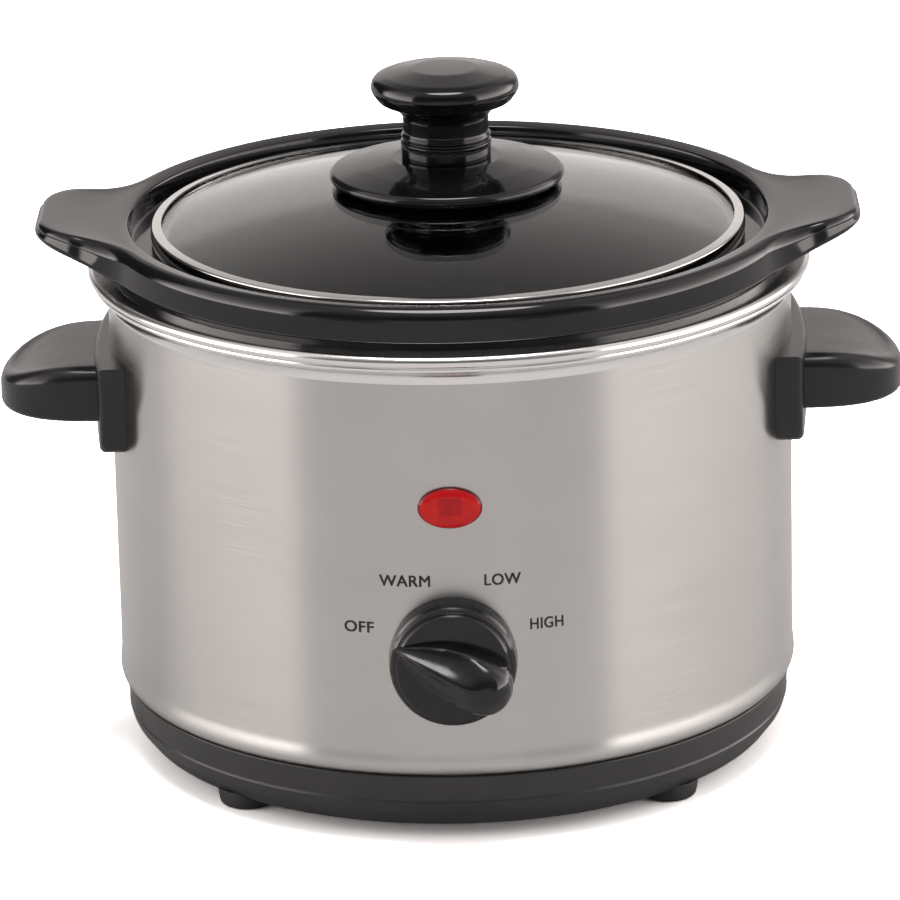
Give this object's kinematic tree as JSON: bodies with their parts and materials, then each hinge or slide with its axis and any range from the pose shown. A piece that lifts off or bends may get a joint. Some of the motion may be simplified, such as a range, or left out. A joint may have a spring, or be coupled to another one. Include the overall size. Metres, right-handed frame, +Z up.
{
  "type": "slow cooker",
  "caption": "Round countertop slow cooker: steel-wrapped base with side handles, rotary heat knob and red lamp, lift-out black crock with lugs, domed glass lid.",
  "frame": {"origin": "on the table under the middle of the overall outline; the body axis stands 7 mm behind it", "axes": "+X to the right seen from the control side, -Y towards the control knob, +Z up"},
  "size_m": [0.252, 0.218, 0.193],
  "materials": {
    "dark_plastic": "fine matt moulding",
    "rubber": "matt",
    "grey_rubber": "matt silicone",
    "zinc_steel": "zinc plated",
    "brushed_wrap": "brushed around the body",
    "polished_steel": "polished",
    "shield_sheet": "plain sheet",
    "band_sheet": "mica band in a metal jacket",
    "fuse_sleeve": "glass-fibre sleeve",
    "black_plastic": "semi gloss moulding",
    "gloss_black": "high gloss moulding",
    "phenolic": "moulded phenolic",
    "brass_parts": "plain",
    "red_lens": "translucent red moulding",
    "lamp_glass": "neon tube",
    "block_white": "ceramic-filled moulding",
    "wire_white": "silicone sleeve",
    "wire_brown": "silicone sleeve",
    "wire_blue": "silicone sleeve",
    "wire_green": "silicone sleeve",
    "black_glaze": null,
    "clear_glass": "tempered glass"
  },
  "bodies": {
    "housing": {"base_pan": "dark_plastic", "feet": "rubber", "foot_screws": "zinc_steel", "outer_wrap": "brushed_wrap", "heating_vessel": "polished_steel", "tie_washer": "zinc_steel", "stud_nuts": "zinc_steel", "heat_shield": "shield_sheet", "heater_band": "band_sheet", "clamp_screw": "zinc_steel", "clamp_nut": "zinc_steel", "thermal_fuse": "fuse_sleeve", "fuse_clip": "zinc_steel", "handle_left": "black_plastic", "handle_right": "black_plastic", "handle_plates": "zinc_steel", "handle_screws": "zinc_steel", "switch_bracket": "zinc_steel", "bracket_screws": "zinc_steel", "switch_body": "phenolic", "switch_nut": "brass_parts", "indicator_lens": "red_lens", "indicator_clip": "zinc_steel", "neon_lamp": "lamp_glass", "lamp_leads": "wire_white", "terminal_block": "block_white", "terminal_screws": "brass_parts", "block_screw": "zinc_steel", "lead_live": "wire_brown", "lead_heater": "wire_white", "lead_neutral": "wire_blue", "lead_earth": "wire_green", "earth_tag": "brass_parts", "cord_bushing": "rubber", "rating_plate": "shield_sheet"},
    "control_knob": {"control_knob": "gloss_black", "knob_spring": "zinc_steel", "switch_shaft": "zinc_steel", "switch_rotor": "phenolic"},
    "crock": {"crock": "black_glaze"},
    "lid": {"lid_glass": "clear_glass", "lid_ring": "polished_steel", "lid_flange": "gloss_black", "lid_knob": "gloss_black", "lid_screw": "zinc_steel", "lid_washer": "zinc_steel", "lid_seal": "grey_rubber"}
  },
  "joints": [
    {"name": "knob_turn", "type": "hinge", "parent": "housing", "child": "control_knob", "pos_m": [0, -0.093, 0.0546], "axis": [0, 1, 0], "range_deg": [0, 135]},
    {"name": "crock_lift", "type": "slide", "parent": "housing", "child": "crock", "axis": [0, 0, 1], "range_m": [0, 0.12]},
    {"name": "lid_lift", "type": "slide", "parent": "crock", "child": "lid", "axis": [0, 0, 1], "range_m": [0, 0.06]}
  ]
}
